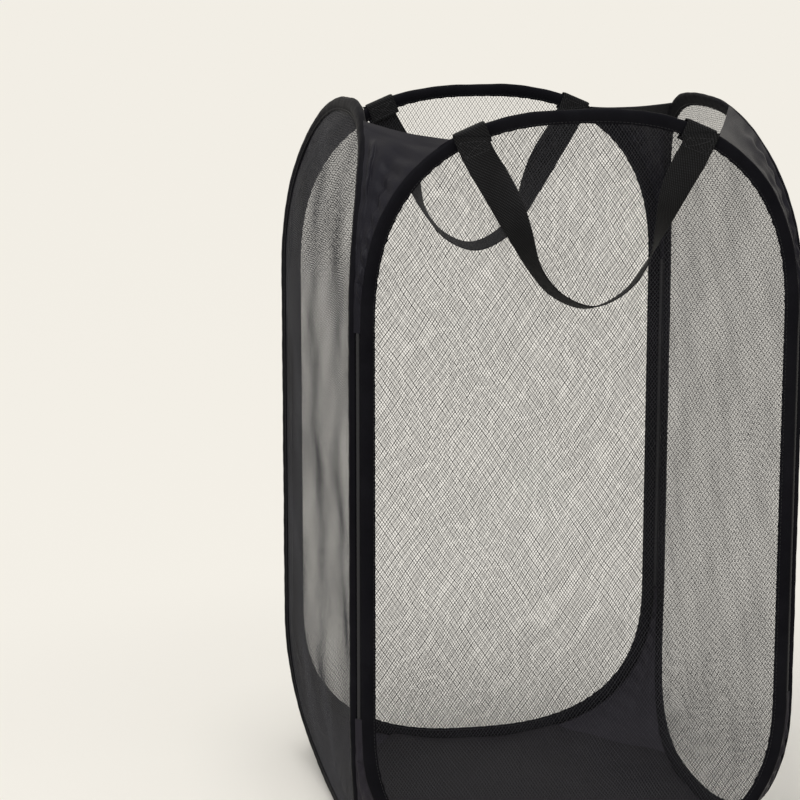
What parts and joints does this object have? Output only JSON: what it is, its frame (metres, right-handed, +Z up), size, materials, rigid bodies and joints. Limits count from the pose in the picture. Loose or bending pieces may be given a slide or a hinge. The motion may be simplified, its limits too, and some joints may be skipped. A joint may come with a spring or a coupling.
{
  "type": "pop up laundry hamper",
  "caption": "Upright square laundry hamper of netted panels on sprung wire hoops, sewn at the corners, with a cloth floor and webbing handles.",
  "frame": {"origin": "on the ground under the middle of the hamper, centre of its bounding box", "axes": "+Z up, the front panel faces -Y, +X to the right seen from the front"},
  "size_m": [0.36, 0.4144, 0.61],
  "materials": {
    "spring_steel": "bright drawn flat wire",
    "splice_metal": "crimped steel tube",
    "binding_cloth": "smooth black polyester tube with a stitched inner hem",
    "net": "fine black diamond mesh",
    "gusset_cloth": "smooth charcoal polyester, slightly glossy",
    "floor_cloth": "smooth dark polyester",
    "webbing": "black ribbed webbing",
    "label_cloth": "bare woven satin label",
    "seam_thread": "black stitching"
  },
  "bodies": {
    "front_panel": {"front_hoop_wire": "spring_steel", "front_wire_splice": "splice_metal", "front_binding": "binding_cloth", "front_net": "net", "front_handle_left_tab": "webbing", "front_handle_right_tab": "webbing", "care_label": "label_cloth", "bottom_panel": "floor_cloth", "front_left_seam": "seam_thread", "front_right_seam": "seam_thread", "front_left_top_gusset": "gusset_cloth", "front_left_bottom_gusset": "gusset_cloth", "front_right_top_gusset": "gusset_cloth", "front_right_bottom_gusset": "gusset_cloth"},
    "left_panel": {"left_hoop_wire": "spring_steel", "left_wire_splice": "splice_metal", "left_binding": "binding_cloth", "left_net": "net", "rear_left_seam": "seam_thread"},
    "back_panel": {"back_hoop_wire": "spring_steel", "back_wire_splice": "splice_metal", "back_binding": "binding_cloth", "back_net": "net", "back_handle_left_tab": "webbing", "back_handle_right_tab": "webbing", "rear_right_seam": "seam_thread", "rear_left_top_gusset": "gusset_cloth", "rear_left_bottom_gusset": "gusset_cloth", "rear_right_top_gusset": "gusset_cloth", "rear_right_bottom_gusset": "gusset_cloth"},
    "right_panel": {"right_hoop_wire": "spring_steel", "right_wire_splice": "splice_metal", "right_binding": "binding_cloth", "right_net": "net"},
    "front_handle": {"front_handle": "webbing"},
    "back_handle": {"back_handle": "webbing"}
  },
  "joints": [
    {"name": "left_fold", "type": "hinge", "parent": "front_panel", "child": "left_panel", "pos_m": [-0.1732, -0.1732, 0.2945], "axis": [0, 0, -1], "range_deg": [0, 72], "stiffness_Nm_per_rad": 0.15, "deforming": ["front_left_top_gusset", "front_left_bottom_gusset", "bottom_panel"]},
    {"name": "back_fold", "type": "hinge", "parent": "left_panel", "child": "back_panel", "pos_m": [-0.1732, 0.1732, 0.2945], "axis": [0, 0, 1], "range_deg": [0, 72], "deforming": ["rear_left_top_gusset", "rear_left_bottom_gusset", "rear_right_top_gusset", "rear_right_bottom_gusset"]},
    {"name": "right_fold", "type": "hinge", "parent": "front_panel", "child": "right_panel", "pos_m": [0.1732, -0.1732, 0.2945], "axis": [0, 0, -1], "range_deg": [0, 72], "deforming": ["front_right_top_gusset", "front_right_bottom_gusset"]},
    {"name": "front_handle_swing", "type": "hinge", "parent": "front_panel", "child": "front_handle", "pos_m": [0, -0.1826, 0.59047], "axis": [-1, 0, 0], "range_deg": [0, 180]},
    {"name": "back_handle_swing", "type": "hinge", "parent": "back_panel", "child": "back_handle", "pos_m": [0, 0.1826, 0.59047], "axis": [1, 0, 0], "range_deg": [0, 180]}
  ],
  "couplings": [
    {"joint": "back_fold", "follows": "left_fold", "ratio": 1},
    {"joint": "right_fold", "follows": "left_fold", "ratio": 1}
  ]
}
